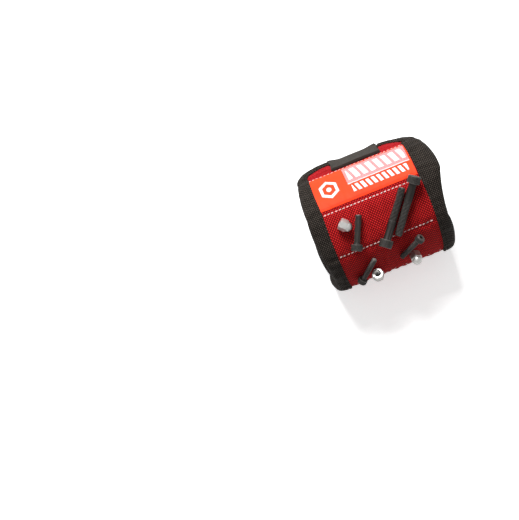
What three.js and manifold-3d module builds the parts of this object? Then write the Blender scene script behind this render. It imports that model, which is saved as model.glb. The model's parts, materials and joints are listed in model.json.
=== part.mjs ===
// A padded magnetic wristband with screws and cap nuts held on it, closed into a ring by a hook strap.
// Millimetres, +Z up, +X along the forearm towards the elbow. The origin is in the middle of the bottom
// row's flat underside, and the band opens upwards from there in sewn rows that hinge at their stitches.
import * as THREE from 'three';
import { mergeVertices } from 'three/addons/utils/BufferGeometryUtils.js';
import Module from 'manifold-3d';

// ---- Driving dimensions: millimetres and degrees ----

const GAP = 0.3; // air between neighbouring pieces
const CUT_PAST = 0.001; // how far a cutting solid reaches past the face it opens
const SEAM_GAP = 0.4; // from a hinge line to the end of the row beside it
const ROW_PITCH = 34.5; // from one stitch line to the next
const SCREW_ROW_HEADING = 15; // slope of the topmost row, which carries the long screws

// How far the band bends at each stitch line when it is closed. Together they make one full turn.
const BEND = { flap: 42, row1: 46, row3: 46, row4: 59, row5: 60, tail: 20, strapLower: 25 };
BEND.strapUpper = 360 - Object.values(BEND).reduce((sum, bend) => sum + bend);

// Heights above (+) and below (-) the hinge plane, at a seam and how much more at a row's crown.
const COVER_TOP = { seam: 0.9, swell: 3.4 };
const COVER_THICK = 0.8;
const TUCK_TOP = { seam: 0.7, swell: 1.9 }; // the layers' edges inside the binding
const TUCK_THICK = 0.6;
const LINING_UNDER = { seam: -0.9, swell: -1.9 };
const LINING_THICK = 0.7;
const BINDING_TOP = { seam: 2.0, swell: 2.1 };
const BINDING_THICK = 1.0;
const CROWN = COVER_TOP.seam + COVER_TOP.swell;

// Places across the band, on the forearm's axis.
const TUCK_EDGE = 46; // where the tucked layers end, inside the binding
const STEP_IN = 38; // where the cover starts to step down under the binding
const STEP_OUT = 39.4;
const LIP = 39.8; // where the binding's visible edge is
const HAND_EDGE = 48.5;
const ELBOW_EDGES = [52.5, 50.5, 49, 48.5, 48.5]; // the label row's binding bulges most
const PAD_HALF = 37;
const LABEL_HALF = 36.5;
const STITCH_HALF = 37.5;

const LABEL_THICK = 0.3;
const STITCH = { from: 0.8, wide: 0.8, thick: 0.4 };
const MAGNET = { radius: 9, thick: 3, apart: 38, floor: -0.8 };

const FLAP = { length: 13, half: 46, corner: 9, binding: 3, top: 1.2, under: -1.6 };
const TAIL = { length: 12, wideHalf: 44, narrowHalf: 24, binding: 3, top: -1.2, under: -2.7 };
const STRAP = { width: 39, thick: 1.8, lift: 3.6 }; // lift: from the flap's plane to the strap's middle
const STRAP_MIDDLE = 2; // the strap is sewn on a little towards the elbow
const HOOKS = { width: 34, thick: 0.7 };
const PEEL_AT = 8; // the strap tip peels from this far below the label's top stitch line
const TIP_END = 0.5; // how far below the label's top stitch line the strap tip ends
const LIP_ROLL = 1.2; // how far the binding's visible edge is rounded over

// Socket-head screws. The length is counted from under the head, and socket is the key's width.
const M6 = { thread: 6, length: 40, head: 10, headHigh: 6, socket: 5 };
const M5 = { thread: 5, length: 22, head: 8.5, headHigh: 5, socket: 4 };
const M4 = { thread: 4, length: 20, head: 7, headHigh: 4, socket: 3 };
const SCREW_CHAMFER = 0.6;
const CAP_NUT = { acrossFlats: 8, hexHigh: 6, domeRadius: 3.75, long: 10, bore: 4.3, boreDeep: 7.5 };

// Where each fastener's middle sits on its row: along the forearm, up the row, and the way it points.
const SCREWS = [
  { name: 'long_screw_left', row: 2, size: M6, at: [-2.1, -1.5], turn: 51.8 },
  { name: 'long_screw_right', row: 2, size: M6, at: [34.4, 34.6], turn: 233 },
  { name: 'middle_screw', row: 2, size: M5, at: [-23.2, 3.6], turn: 65.3 },
  { name: 'short_screw_left', row: 3, size: M4, at: [-27.1, 9.6], turn: 50.6 },
  { name: 'short_screw_right', row: 3, size: M4, at: [22.9, 30.6], turn: 219.9 },
];
const NUTS = [
  { name: 'cap_nut_upper', row: 2, at: [-24.9, 21.7], turn: -45, tilt: 0, height: 4 },
  { name: 'cap_nut_lower_left', row: 3, at: [-14.8, 9], turn: -90, tilt: -15, height: 4.2 },
  { name: 'cap_nut_lower_right', row: 3, at: [16.3, 12.3], turn: 0, tilt: 90, height: 5 },
];

// Flat sides that stand in for round faces.
const SHANK_SIDES = 18;
const BORE_SIDES = 14;
const MAGNET_SIDES = 20;

// ---- Finishes ----

const RED_WEAVE = { color: 0xb3121d, roughness: 0.75, metalness: 0 };
const RED_PILE = { color: 0xb0222a, roughness: 0.95, metalness: 0 };
const BLACK_TAPE = { color: 0x1c1d1b, roughness: 0.85, metalness: 0 };
const GREY_HOOK = { color: 0x343632, roughness: 0.9, metalness: 0 };
const FOAM = { color: 0x4a4a4a, roughness: 1, metalness: 0 };
const LINING = { color: 0x202020, roughness: 0.9, metalness: 0 };
const THREAD = { color: 0xf0e4e0, roughness: 0.7, metalness: 0 };
const LABEL = { color: 0xf0451f, roughness: 0.3, metalness: 0 };
const NICKEL = { color: 0xb8b8b4, roughness: 0.3, metalness: 1 };
const BLACK_STEEL = { color: 0x2c2c2c, roughness: 0.45, metalness: 0.6 };
const BRIGHT_STEEL = { color: 0xc9c9c6, roughness: 0.25, metalness: 1 };

const wasm = await Module();
wasm.setup();
const radians = THREE.MathUtils.degToRad;

// ---- General helpers ----

function addPiece(group, name, geometry, finish) {
  const mesh = new THREE.Mesh(geometry, new THREE.MeshStandardMaterial(finish));
  mesh.name = name;
  group.add(mesh);
  return mesh;
}

function toSolid(geometry) {
  const bare = geometry.clone();
  bare.deleteAttribute('normal');
  bare.deleteAttribute('uv');
  const merged = mergeVertices(bare, 1e-4);
  const mesh = new wasm.Mesh({
    numProp: 3,
    vertProperties: new Float32Array(merged.attributes.position.array),
    triVerts: new Uint32Array(merged.index.array),
  });
  return new wasm.Manifold(mesh);
}

function toGeometry(solid) {
  const mesh = solid.getMesh();
  const geometry = new THREE.BufferGeometry();
  geometry.setAttribute('position', new THREE.BufferAttribute(mesh.vertProperties, 3));
  geometry.setIndex(new THREE.BufferAttribute(mesh.triVerts, 1));
  geometry.computeVertexNormals();
  return geometry;
}

// A flat plate: the shape lies in the X-Y plane and the plate fills from under to top.
function plate(shape, under, top) {
  const depth = top - under;
  const geometry = new THREE.ExtrudeGeometry(shape, { depth, bevelEnabled: false, curveSegments: 5 });
  return geometry.translate(0, 0, under);
}

// A strip as wide as width along X, in line with the strap, whose side view is a list of [y, z] points.
function strip(points, width) {
  const shape = new THREE.Shape(points.map(([y, z]) => new THREE.Vector2(y, z)));
  const geometry = new THREE.ExtrudeGeometry(shape, { depth: width, bevelEnabled: false });
  geometry.translate(0, 0, STRAP_MIDDLE - width / 2);
  const sideways = new THREE.Matrix4().makeBasis(
    new THREE.Vector3(0, 1, 0),
    new THREE.Vector3(0, 0, 1),
    new THREE.Vector3(1, 0, 0),
  );
  return geometry.applyMatrix4(sideways);
}

// How far a face below the hinge plane has to stand back so that its neighbour can bend towards it.
function relief(z, bend) {
  return Math.max(0, -z) * Math.tan(radians(bend / 2));
}

// ---- Padded rows ----

// A row's height runs from 0 beside its stitches to 1 on its crown, which is flat along the middle.
const STATIONS = [0, 0.06, 0.12, 0.2, 0.34, 0.66, 0.8, 0.88, 0.94, 1];
const SWELLS = [0, 0, 0.4, 0.76, 1, 1, 0.76, 0.4, 0, 0];

// A solid skinned along a row. outlineAt(swell) gives [x, z] points, counterclockwise. A point's own
// height decides how far it stands back from the bends at the row's low and high ends.
function rowSolid(outlineAt, bends, first = 0, last = STATIONS.length - 1) {
  const positions = [];
  for (let k = first; k <= last; k++) {
    for (const [x, z] of outlineAt(SWELLS[k])) {
      const low = SEAM_GAP + relief(z, bends.low);
      const high = ROW_PITCH - SEAM_GAP - relief(z, bends.high);
      positions.push(x, low + STATIONS[k] * (high - low), z);
    }
  }
  const around = outlineAt(0).length;
  const rings = last - first;
  const faces = [];
  for (let k = 0; k < rings; k++) {
    for (let i = 0; i < around; i++) {
      const here = k * around + i;
      const next = k * around + ((i + 1) % around);
      faces.push(here, here + around, next + around, here, next + around, next);
    }
  }
  const lowEnd = outlineAt(SWELLS[first]).map(([x, z]) => new THREE.Vector2(x, z));
  for (const [a, b, c] of THREE.ShapeUtils.triangulateShape(lowEnd, [])) {
    const end = rings * around;
    faces.push(a, b, c, end + a, end + c, end + b);
  }
  const geometry = new THREE.BufferGeometry();
  geometry.setAttribute('position', new THREE.Float32BufferAttribute(positions, 3));
  geometry.setIndex(faces);
  geometry.computeVertexNormals();
  return geometry;
}

const heightAt = (layer, swell) => layer.seam + layer.swell * swell;

function coverOutline(swell) {
  const top = heightAt(COVER_TOP, swell);
  const under = top - COVER_THICK;
  const tuckTop = heightAt(TUCK_TOP, swell);
  const tuckUnder = tuckTop - TUCK_THICK;
  return [
    [-TUCK_EDGE, tuckUnder], [-STEP_OUT, tuckUnder], [-STEP_IN, under],
    [STEP_IN, under], [STEP_OUT, tuckUnder], [TUCK_EDGE, tuckUnder],
    [TUCK_EDGE, tuckTop], [STEP_OUT, tuckTop], [STEP_IN, top],
    [-STEP_IN, top], [-STEP_OUT, tuckTop], [-TUCK_EDGE, tuckTop],
  ];
}

function slabOutline(half, under, top) {
  return [[-half, under], [half, under], [half, top], [-half, top]];
}

function liningOutline(swell) {
  const under = heightAt(LINING_UNDER, swell);
  return slabOutline(TUCK_EDGE, under, under + LINING_THICK);
}

function padOutline(swell) {
  const under = heightAt(LINING_UNDER, swell) + LINING_THICK + GAP;
  const top = heightAt(COVER_TOP, swell) - COVER_THICK - GAP;
  return slabOutline(PAD_HALF, under, top);
}

function labelOutline(swell) {
  const under = heightAt(COVER_TOP, swell) + GAP;
  return slabOutline(LABEL_HALF, under, under + LABEL_THICK);
}

// The binding is one tape folded round the edge: a C with the layers' edges inside it. side is -1 or 1.
function bindingOutline(swell, side, edge) {
  const top = heightAt(BINDING_TOP, swell);
  const inTop = top - BINDING_THICK;
  const inUnder = heightAt(LINING_UNDER, swell) - GAP;
  const under = inUnder - BINDING_THICK;
  const slot = TUCK_EDGE + GAP;
  const half = BINDING_THICK / 2;
  const elbowSide = [
    [LIP, inTop], [slot, inTop], [slot, inUnder], [LIP, inUnder],
    [LIP, under + half], [LIP + LIP_ROLL, under], [slot, under],
    [edge - half, under / 2], [edge, 0], [edge - half, top / 2],
    [slot, top], [LIP + LIP_ROLL, top], [LIP, top - half],
  ];
  return side > 0 ? elbowSide : elbowSide.map(([x, z]) => [-x, z]).reverse();
}

function magnetDisc(x) {
  const disc = new THREE.CylinderGeometry(MAGNET.radius, MAGNET.radius, MAGNET.thick, MAGNET_SIDES);
  disc.rotateX(Math.PI / 2);
  return disc.translate(x, ROW_PITCH / 2, MAGNET.floor + MAGNET.thick / 2);
}

function padWithPockets(bends) {
  let pad = toSolid(rowSolid(padOutline, bends, 2, STATIONS.length - 3));
  const pocketRadius = MAGNET.radius + GAP;
  const pocketLong = ROW_PITCH; // far longer than the pad is thick
  for (const side of [-1, 1]) {
    const pocket = new THREE.CylinderGeometry(pocketRadius, pocketRadius, pocketLong, MAGNET_SIDES);
    pocket.rotateX(Math.PI / 2).translate(side * MAGNET.apart / 2, ROW_PITCH / 2, 0);
    pad = pad.subtract(toSolid(pocket));
  }
  return toGeometry(pad);
}

function addRow(group, number, bends) {
  const name = `row_${number}`;
  const elbowEdge = ELBOW_EDGES[number - 1];
  addPiece(group, `${name}_cover`, rowSolid(coverOutline, bends), RED_WEAVE);
  addPiece(group, `${name}_lining`, rowSolid(liningOutline, bends), LINING);
  addPiece(group, `${name}_pad`, padWithPockets(bends), FOAM);
  addPiece(group, `${name}_magnet_hand`, magnetDisc(-MAGNET.apart / 2), NICKEL);
  addPiece(group, `${name}_magnet_elbow`, magnetDisc(MAGNET.apart / 2), NICKEL);
  const hand = rowSolid((swell) => bindingOutline(swell, -1, HAND_EDGE), bends);
  const elbow = rowSolid((swell) => bindingOutline(swell, 1, elbowEdge), bends);
  addPiece(group, `${name}_binding_hand`, hand, BLACK_TAPE);
  addPiece(group, `${name}_binding_elbow`, elbow, BLACK_TAPE);
}

// One line of lock stitches on a row's margin. atTop puts it at the row's high end.
function addStitches(group, name, atTop) {
  const from = atTop ? ROW_PITCH - STITCH.from - STITCH.wide : STITCH.from;
  const bar = new THREE.BoxGeometry(2 * STITCH_HALF, STITCH.wide, STITCH.thick);
  const height = COVER_TOP.seam + GAP + STITCH.thick / 2;
  addPiece(group, name, bar.translate(0, from + STITCH.wide / 2, height), THREAD);
}

// ---- Flap beyond the label, and the tail at the other end ----

// The flap's outline, set in from its edge: straight sides, rounded far corners.
function flapPath(path, inset, start) {
  const half = FLAP.half - inset;
  const far = FLAP.length - inset;
  const radius = FLAP.corner - inset;
  path.moveTo(-half, start);
  path.lineTo(-half, far - radius);
  path.absarc(radius - half, far - radius, radius, Math.PI, Math.PI / 2, true);
  path.absarc(half - radius, far - radius, radius, Math.PI / 2, 0, true);
  path.lineTo(half, start);
  return path;
}

function addFlap(group) {
  const start = SEAM_GAP + relief(FLAP.under, BEND.flap);
  const panel = flapPath(new THREE.Shape(), FLAP.binding + GAP, start);
  addPiece(group, 'flap_loop_panel', plate(panel, FLAP.under + GAP, FLAP.top - GAP), RED_PILE);
  const outer = flapPath(new THREE.Path(), 0, start).getPoints(5);
  const inner = flapPath(new THREE.Path(), FLAP.binding, start).getPoints(5).reverse();
  const frame = new THREE.Shape([...outer, ...inner]);
  addPiece(group, 'flap_binding', plate(frame, FLAP.under, FLAP.top), BLACK_TAPE);
}

// The tail's tapered outline from its wide end to its narrow end and back, set in from its edge.
function tailPoints(inset, near, far) {
  const taper = (TAIL.wideHalf - TAIL.narrowHalf) / TAIL.length;
  const insetAcross = inset * Math.hypot(1, taper);
  const halfAt = (y) => TAIL.narrowHalf + y * taper - insetAcross;
  return [[-halfAt(far), far], [-halfAt(near), near], [halfAt(near), near], [halfAt(far), far]]
    .map(([x, y]) => new THREE.Vector2(x, y));
}

function addTail(group) {
  const near = SEAM_GAP + relief(TAIL.under, BEND.strapLower);
  const far = TAIL.length - SEAM_GAP - relief(TAIL.under, BEND.tail);
  const inner = tailPoints(TAIL.binding, near + TAIL.binding, far).reverse();
  const frame = new THREE.Shape([...tailPoints(0, near, far), ...inner]);
  addPiece(group, 'tail_binding', plate(frame, TAIL.under, TAIL.top), BLACK_TAPE);
  const panel = new THREE.Shape(tailPoints(TAIL.binding + GAP, near + TAIL.binding + GAP, far));
  addPiece(group, 'tail_panel', plate(panel, TAIL.under + GAP, TAIL.top - GAP), RED_WEAVE);
}

// ---- Hook strap ----

// A straight length of strap between two bends, standing back from each on its inner side.
function strapPoints(length, bendLow, bendHigh) {
  const half = STRAP.thick / 2;
  const low = SEAM_GAP;
  const high = length - SEAM_GAP;
  const underLow = low + relief(-half, bendLow);
  const underHigh = high - relief(-half, bendHigh);
  return [[low, half], [low, 0], [underLow, -half], [underHigh, -half], [high, 0], [high, half]];
}

function addHooks(group, name, from, to) {
  const top = -STRAP.thick / 2 - GAP;
  const under = top - HOOKS.thick;
  const points = [[from, under], [to, under], [to, top], [from, top]];
  addPiece(group, name, strip(points, HOOKS.width), GREY_HOOK);
}

// The tip's frame has its origin on the strap's middle at the peel line, and +Y down the flap.
function addStrapTip(group) {
  const half = STRAP.thick / 2;
  const end = TIP_END - PEEL_AT;
  const points = [[end, -half], [-SEAM_GAP, -half], [-SEAM_GAP, half], [end, half]];
  addPiece(group, 'strap_tip', strip(points, STRAP.width), GREY_HOOK);
  addHooks(group, 'strap_tip_hooks', end + 1, -SEAM_GAP);
}

// ---- Fasteners ----

// A socket-head screw: its head's middle is at the origin and its shank points along +Y.
function screwGeometry(size) {
  const head = size.head / 2;
  const thread = size.thread / 2;
  const high = size.headHigh / 2;
  const tip = high + size.length;
  const profile = [
    [0, -high], [head - SCREW_CHAMFER, -high], [head, SCREW_CHAMFER - high], [head, high], [thread, high],
    [thread, tip - SCREW_CHAMFER], [thread - SCREW_CHAMFER, tip], [0, tip],
  ].map(([x, y]) => new THREE.Vector2(x, y));
  const body = toSolid(new THREE.LatheGeometry(profile, SHANK_SIDES));
  const corner = size.socket / Math.sqrt(3);
  const socket = new THREE.CylinderGeometry(corner, corner, size.headHigh, 6);
  socket.translate(0, -size.headHigh / 2, 0);
  return toGeometry(body.subtract(toSolid(socket)));
}

// A cap nut: its mouth faces -Y, its dome +Y, and its middle is at the origin.
function capNutGeometry() {
  const half = CAP_NUT.long / 2;
  const corner = CAP_NUT.acrossFlats / Math.sqrt(3);
  const hex = new THREE.CylinderGeometry(corner, corner, CAP_NUT.hexHigh, 6);
  hex.rotateY(Math.PI / 6).translate(0, CAP_NUT.hexHigh / 2 - half, 0);
  const domeFoot = half - CAP_NUT.domeRadius;
  const profile = [new THREE.Vector2(0, -1), new THREE.Vector2(CAP_NUT.domeRadius, -1)];
  for (let k = 0; k <= 5; k++) {
    const angle = (k / 5) * (Math.PI / 2);
    const around = k === 5 ? 0 : CAP_NUT.domeRadius * Math.cos(angle);
    profile.push(new THREE.Vector2(around, domeFoot + CAP_NUT.domeRadius * Math.sin(angle)));
  }
  const dome = new THREE.LatheGeometry(profile, SHANK_SIDES);
  const boreRadius = CAP_NUT.bore / 2;
  const bore = new THREE.CylinderGeometry(boreRadius, boreRadius, CAP_NUT.boreDeep, BORE_SIDES);
  bore.translate(0, CAP_NUT.boreDeep / 2 - half - CUT_PAST, 0);
  return toGeometry(toSolid(hex).add(toSolid(dome)).subtract(toSolid(bore)));
}

function placeFastener(mesh, at, height, tilt, turn) {
  mesh.position.set(at[0], at[1], CROWN + GAP + height);
  mesh.rotation.set(radians(tilt), 0, radians(turn - 90), 'ZXY');
}

function addFasteners(rows) {
  for (const { name, row, size, at, turn } of SCREWS) {
    const mesh = addPiece(rows[row], name, screwGeometry(size), BLACK_STEEL);
    const drop = (size.head - size.thread) / 2;
    const tilt = -THREE.MathUtils.radToDeg(Math.asin(drop / (size.length + size.headHigh / 2)));
    placeFastener(mesh, at, size.head / 2, tilt, turn);
  }
  for (const { name, row, at, turn, tilt, height } of NUTS) {
    const mesh = addPiece(rows[row], name, capNutGeometry(), BRIGHT_STEEL);
    placeFastener(mesh, at, height, tilt, turn);
  }
}

// ---- The ring: every group's origin is a hinge line, with +Y up the row and +Z outwards ----

// The group beyond the parent's low end: it bends about the parent's origin.
function hangBelow(parent, bend, length) {
  const hinge = new THREE.Group();
  hinge.rotation.x = radians(bend);
  parent.add(hinge);
  const group = new THREE.Group();
  group.position.y = -length;
  hinge.add(group);
  return group;
}

// The group beyond the parent's high end.
function hangAbove(parent, bend) {
  const group = new THREE.Group();
  group.position.y = ROW_PITCH;
  group.rotation.x = -radians(bend);
  parent.add(group);
  return group;
}

// Row 2 is placed by walking up from row 5, which lies flat with its crown on Z = 0 and centred on Y = 0.
function placeRow2(group) {
  let heading = SCREW_ROW_HEADING + BEND.row3 + BEND.row4;
  let y = -ROW_PITCH / 2;
  let z = CROWN;
  for (const bend of [BEND.row4, BEND.row3]) {
    y += ROW_PITCH * Math.cos(radians(heading));
    z += ROW_PITCH * Math.sin(radians(heading));
    heading -= bend;
  }
  group.position.set(0, y, z);
  group.rotation.x = radians(heading);
}

// How long the strap is from the tail to where it turns up along the flap, so that the ring closes.
function strapLowerLength(tail, flap) {
  const start = tail.localToWorld(new THREE.Vector3());
  const foot = flap.localToWorld(new THREE.Vector3(0, 0, STRAP.lift));
  const normal = flap.localToWorld(new THREE.Vector3(0, 0, STRAP.lift + 1)).sub(foot);
  const bend = radians(BEND.strapLower);
  const ahead = tail.localToWorld(new THREE.Vector3(0, -Math.cos(bend), -Math.sin(bend))).sub(start);
  return foot.sub(start).dot(normal) / ahead.dot(normal);
}

const wristband = new THREE.Group();
const rows = {};
rows[2] = new THREE.Group();
placeRow2(rows[2]);
wristband.add(rows[2]);
rows[1] = hangAbove(rows[2], BEND.row1);
rows[3] = hangBelow(rows[2], BEND.row3, ROW_PITCH);
rows[4] = hangBelow(rows[3], BEND.row4, ROW_PITCH);
rows[5] = hangBelow(rows[4], BEND.row5, ROW_PITCH);
addRow(rows[1], 1, { low: BEND.row1, high: BEND.flap });
addRow(rows[2], 2, { low: BEND.row3, high: BEND.row1 });
addRow(rows[3], 3, { low: BEND.row4, high: BEND.row3 });
addRow(rows[4], 4, { low: BEND.row5, high: BEND.row4 });
addRow(rows[5], 5, { low: BEND.tail, high: BEND.row5 });
addPiece(rows[1], 'label', rowSolid(labelOutline, { low: 0, high: 0 }, 1, STATIONS.length - 2), LABEL);
addStitches(rows[1], 'stitches_label_top', true);
addStitches(rows[2], 'stitches_row_1_2', true);
addStitches(rows[2], 'stitches_row_2_3', false);
addStitches(rows[3], 'stitches_row_3_4', false);
addStitches(rows[4], 'stitches_row_4_5', false);
addStitches(rows[5], 'stitches_tail', false);

const flap = hangAbove(rows[1], BEND.flap);
addFlap(flap);
const tail = hangBelow(rows[5], BEND.tail, TAIL.length);
addTail(tail);
const rootPoints = strapPoints(TAIL.length, BEND.strapLower, BEND.tail);
addPiece(tail, 'strap_root', strip(rootPoints, STRAP.width), GREY_HOOK);

wristband.updateMatrixWorld(true);
const lowerLength = strapLowerLength(tail, flap);
const strapLower = hangBelow(tail, BEND.strapLower, lowerLength);
const lowerPoints = strapPoints(lowerLength, BEND.strapUpper, BEND.strapLower);
addPiece(strapLower, 'strap_lower', strip(lowerPoints, STRAP.width), GREY_HOOK);
wristband.updateMatrixWorld(true);
const turnUp = flap.worldToLocal(strapLower.localToWorld(new THREE.Vector3()));
const upperLength = turnUp.y - PEEL_AT;
const strapUpper = hangBelow(strapLower, BEND.strapUpper, upperLength);
const upperPoints = strapPoints(upperLength, 0, BEND.strapUpper);
addPiece(strapUpper, 'strap_upper', strip(upperPoints, STRAP.width), GREY_HOOK);
addHooks(strapUpper, 'strap_upper_hooks', SEAM_GAP, FLAP.length - PEEL_AT);
addStrapTip(strapUpper);
addFasteners(rows);

export default wristband;
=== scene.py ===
"""A padded magnetic wristband, closed into a ring, with screws and cap nuts held on its outside.

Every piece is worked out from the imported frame: the hinge lines give each row's place, and the CAD meshes
give each fastener's place. Lengths are millimetres until a Row or a piece's maker turns them into metres.

The rows are numbered down the band: 0 is the flap beyond the label, 1 the label row, 2 the screw row, 5 the
bottom row and 6 the tail that carries the strap. Seam k is the hinge between row k and row k + 1. A share
runs from 0 to 1 up a row.
"""

import json
import math

import bpy
import numpy as np
from mathutils import Matrix, Vector


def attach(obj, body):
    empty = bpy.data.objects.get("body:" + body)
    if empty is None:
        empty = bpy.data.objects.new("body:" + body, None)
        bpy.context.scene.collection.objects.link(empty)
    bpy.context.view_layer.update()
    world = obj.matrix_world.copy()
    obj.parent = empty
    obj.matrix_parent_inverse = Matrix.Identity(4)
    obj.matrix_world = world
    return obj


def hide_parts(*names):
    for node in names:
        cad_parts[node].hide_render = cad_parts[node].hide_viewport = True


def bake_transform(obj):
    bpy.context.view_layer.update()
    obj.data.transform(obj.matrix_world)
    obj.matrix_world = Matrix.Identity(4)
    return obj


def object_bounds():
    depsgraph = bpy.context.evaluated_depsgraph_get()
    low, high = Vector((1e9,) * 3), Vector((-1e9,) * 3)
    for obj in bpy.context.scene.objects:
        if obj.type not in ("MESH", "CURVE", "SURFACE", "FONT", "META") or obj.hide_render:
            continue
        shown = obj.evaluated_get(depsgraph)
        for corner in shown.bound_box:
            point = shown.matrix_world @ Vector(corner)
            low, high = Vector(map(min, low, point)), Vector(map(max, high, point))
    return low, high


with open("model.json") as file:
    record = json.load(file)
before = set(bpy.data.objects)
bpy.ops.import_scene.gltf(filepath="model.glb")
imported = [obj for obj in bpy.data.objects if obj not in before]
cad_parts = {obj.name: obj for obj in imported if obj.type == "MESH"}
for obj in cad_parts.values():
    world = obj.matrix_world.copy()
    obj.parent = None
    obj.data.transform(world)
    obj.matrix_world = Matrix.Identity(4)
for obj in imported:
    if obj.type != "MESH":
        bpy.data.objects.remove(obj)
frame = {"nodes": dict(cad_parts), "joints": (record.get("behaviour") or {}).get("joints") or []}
cad_low, cad_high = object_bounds()

MM = 0.001
JOINTS = {joint["name"]: joint for joint in frame["joints"]}

# ---- Driving dimensions of the sewn band ----

SEAM_HEIGHT = 0.9  # outer fabric at a stitch line, above the hinge
CROWN_HEIGHT = 4.3  # outer fabric on a row's crown
COVER_THICK = 0.6
PAD_HALF = 37.4  # the fabric stays up this far from the middle, over the pad
TUCK_HALF = 43.0  # how far the fabric runs on inside the binding
RESTING = 4.28  # how far row 5, which the band rests on, reaches below its hinges
LINING_SEAM = -0.5
LINING_CROWN = -2.6
LINING_THICK = 0.5
LABEL_HALF = 39.2
LABEL_THICK = 0.3
# The two thin ends. Over the distance change their tape comes to be edge wide, and to reach the heights top
# and under, on a panel whose faces are at panel.
FLAP_SIZE = {
    "length": 13.0, "half": 47.0, "corner": 11.5,
    "edge": 4.4, "top": 1.9, "under": -1.7, "panel": (0.9, -1.0), "change": 34.0,
}
TAIL_SIZE = {
    "length": 12.0, "wide": 44.0, "narrow": 24.0, "corner": 3.0,
    "edge": 3.0, "top": -1.0, "under": -2.8, "panel": (-1.2, -2.6), "change": 9.0,
}
BINDING_TOP = (2.1, 4.9)  # at a stitch line, and over a crown
BINDING_UNDER = (-2.2, -4.1)
# Where the binding's inner hem and outer edge run at each seam, and the outer edge over rows 1 to 5.
HEM_AT_SEAM = {-1: (36.2, 37.6, 38.2, 35.2, 37.0, 37.0), 1: (38.2, 39.8, 40.0, 38.2, 38.2, 38.2)}
EDGE_AT_SEAM = {-1: (45.4, 49.8, 48.6, 44.2, 45.5, 45.5), 1: (51.0, 56.6, 49.6, 47.6, 46.5, 46.5)}
EDGE_OVER_ROW = {-1: (48.8, 50.6, 46.6, 47.6, 48.0), 1: (56.6, 51.8, 50.6, 49.2, 48.8)}

STITCH = {"pitch": 3.0, "long": 2.5, "radius": 0.38, "half": 37.6, "lift": 0.28, "margin": 0.8}
STRAP = {"middle": 2.0, "half": 19.5, "thick": 1.9, "tip_lift": 2.6, "bulge": 2.9}
STRAP_CURL = {-1: 1.9, 1: 1.0}  # how far its edges curl out where it turns down behind the flap
# Beside the strap, which holds its middle down, the flap springs out of its plane by these angles.
FLARE = {-1: math.radians(37), 1: math.radians(29)}
FLARE_DROOP = math.radians(14)  # how much less at the flap's corners
# Each patch of hooks runs between two distances down the flap.
HOOK = {
    "half": 17.0, "base": 0.3, "high": 0.75, "pitch": 1.25,
    "tip_patch": (1.6, 7.6), "upper_patch": (8.4, FLAP_SIZE["length"]),
}

SEAM_REACH = 4.0  # how far from a hinge blend_over sets its start and end points
FLAP_TURN = math.radians(75)  # from the label row's plane, the direction along which blend_over_flap sets its start and end points
FLAP_REACH = (1.6, 9.0)

# ---- Frames of the rows ----


def hinge_point(name):
    return np.array(JOINTS[name]["pos_m"][1:]) / MM


def bend_of(name):
    return math.radians(JOINTS[name]["range_deg"][1])


class Row:
    """A flat frame between two hinge lines: +y runs from the low hinge to the high one, n points outwards."""

    def __init__(self, body, low, high, bend_low, bend_high):
        self.body = body
        self.low = np.array(low, float)
        along = np.array(high, float) - self.low
        self.length = float(np.linalg.norm(along))
        self.along = along / self.length
        self.out = np.array([-self.along[1], self.along[0]])
        self.lean_low = math.tan(bend_low / 2)
        self.lean_high = math.tan(bend_high / 2)

    def place(self, x, y, n):
        """Points in metres from x along the forearm, y up the row and n outwards."""
        x, y, n = np.broadcast_arrays(*(np.asarray(v, float) for v in (x, y, n)))
        across = self.low[0] + y * self.along[0] + n * self.out[0]
        up = self.low[1] + y * self.along[1] + n * self.out[1]
        return np.stack([x, across, up], axis=-1) * MM

    def mitred(self, x, share, n):
        """As place, with share from 0 to 1 up the row, so that neighbouring rows meet on one plane."""
        n = np.asarray(n, float)
        low = -n * self.lean_low
        high = self.length + n * self.lean_high
        return self.place(x, low + share * (high - low), n)


HINGES = ["open_label_flap", "open_label_row", "open_band", "open_back_row", "open_bottom_row", "open_tail"]
BODIES = ["label_flap", "label_row", "screw_row", "lower_row", "back_row", "bottom_row", "tail"]


def make_rows():
    points = [hinge_point(name) for name in HINGES]
    bends = [bend_of(name) for name in HINGES]
    heading = math.atan2(*(points[0] - points[1])[::-1]) - bends[0]
    flap_end = points[0] + FLAP_SIZE["length"] * np.array([math.cos(heading), math.sin(heading)])
    rows = [Row(BODIES[0], points[0], flap_end, bends[0], 0)]
    for k in range(1, 6):
        rows.append(Row(BODIES[k], points[k], points[k - 1], bends[k], bends[k - 1]))
    strap_bend = bend_of("open_strap_lower")
    rows.append(Row(BODIES[6], hinge_point("open_strap_lower"), points[5], strap_bend, bends[5]))
    return rows


ROWS = make_rows()
FLAP_ROW, TAIL_ROW = ROWS[0], ROWS[6]

# ---- Mesh helpers ----


def add_mesh(name, verts, faces, uv=None, sharp=None):
    """A smooth-shaded mesh object from points in metres. uv holds one pair per point."""
    mesh = bpy.data.meshes.new(name)
    mesh.from_pydata(np.asarray(verts).reshape(-1, 3).tolist(), [], faces)
    mesh.shade_smooth()
    if uv is not None:
        layer = mesh.uv_layers.new(name="UVMap")
        index = np.zeros(len(mesh.loops), np.int32)
        mesh.loops.foreach_get("vertex_index", index)
        layer.data.foreach_set("uv", np.asarray(uv, np.float32).reshape(-1, 2)[index].ravel())
    mesh.update()
    if sharp is not None:
        mesh.set_sharp_from_angle(angle=math.radians(sharp))
    obj = bpy.data.objects.new(name, mesh)
    bpy.context.scene.collection.objects.link(obj)
    return obj


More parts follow.
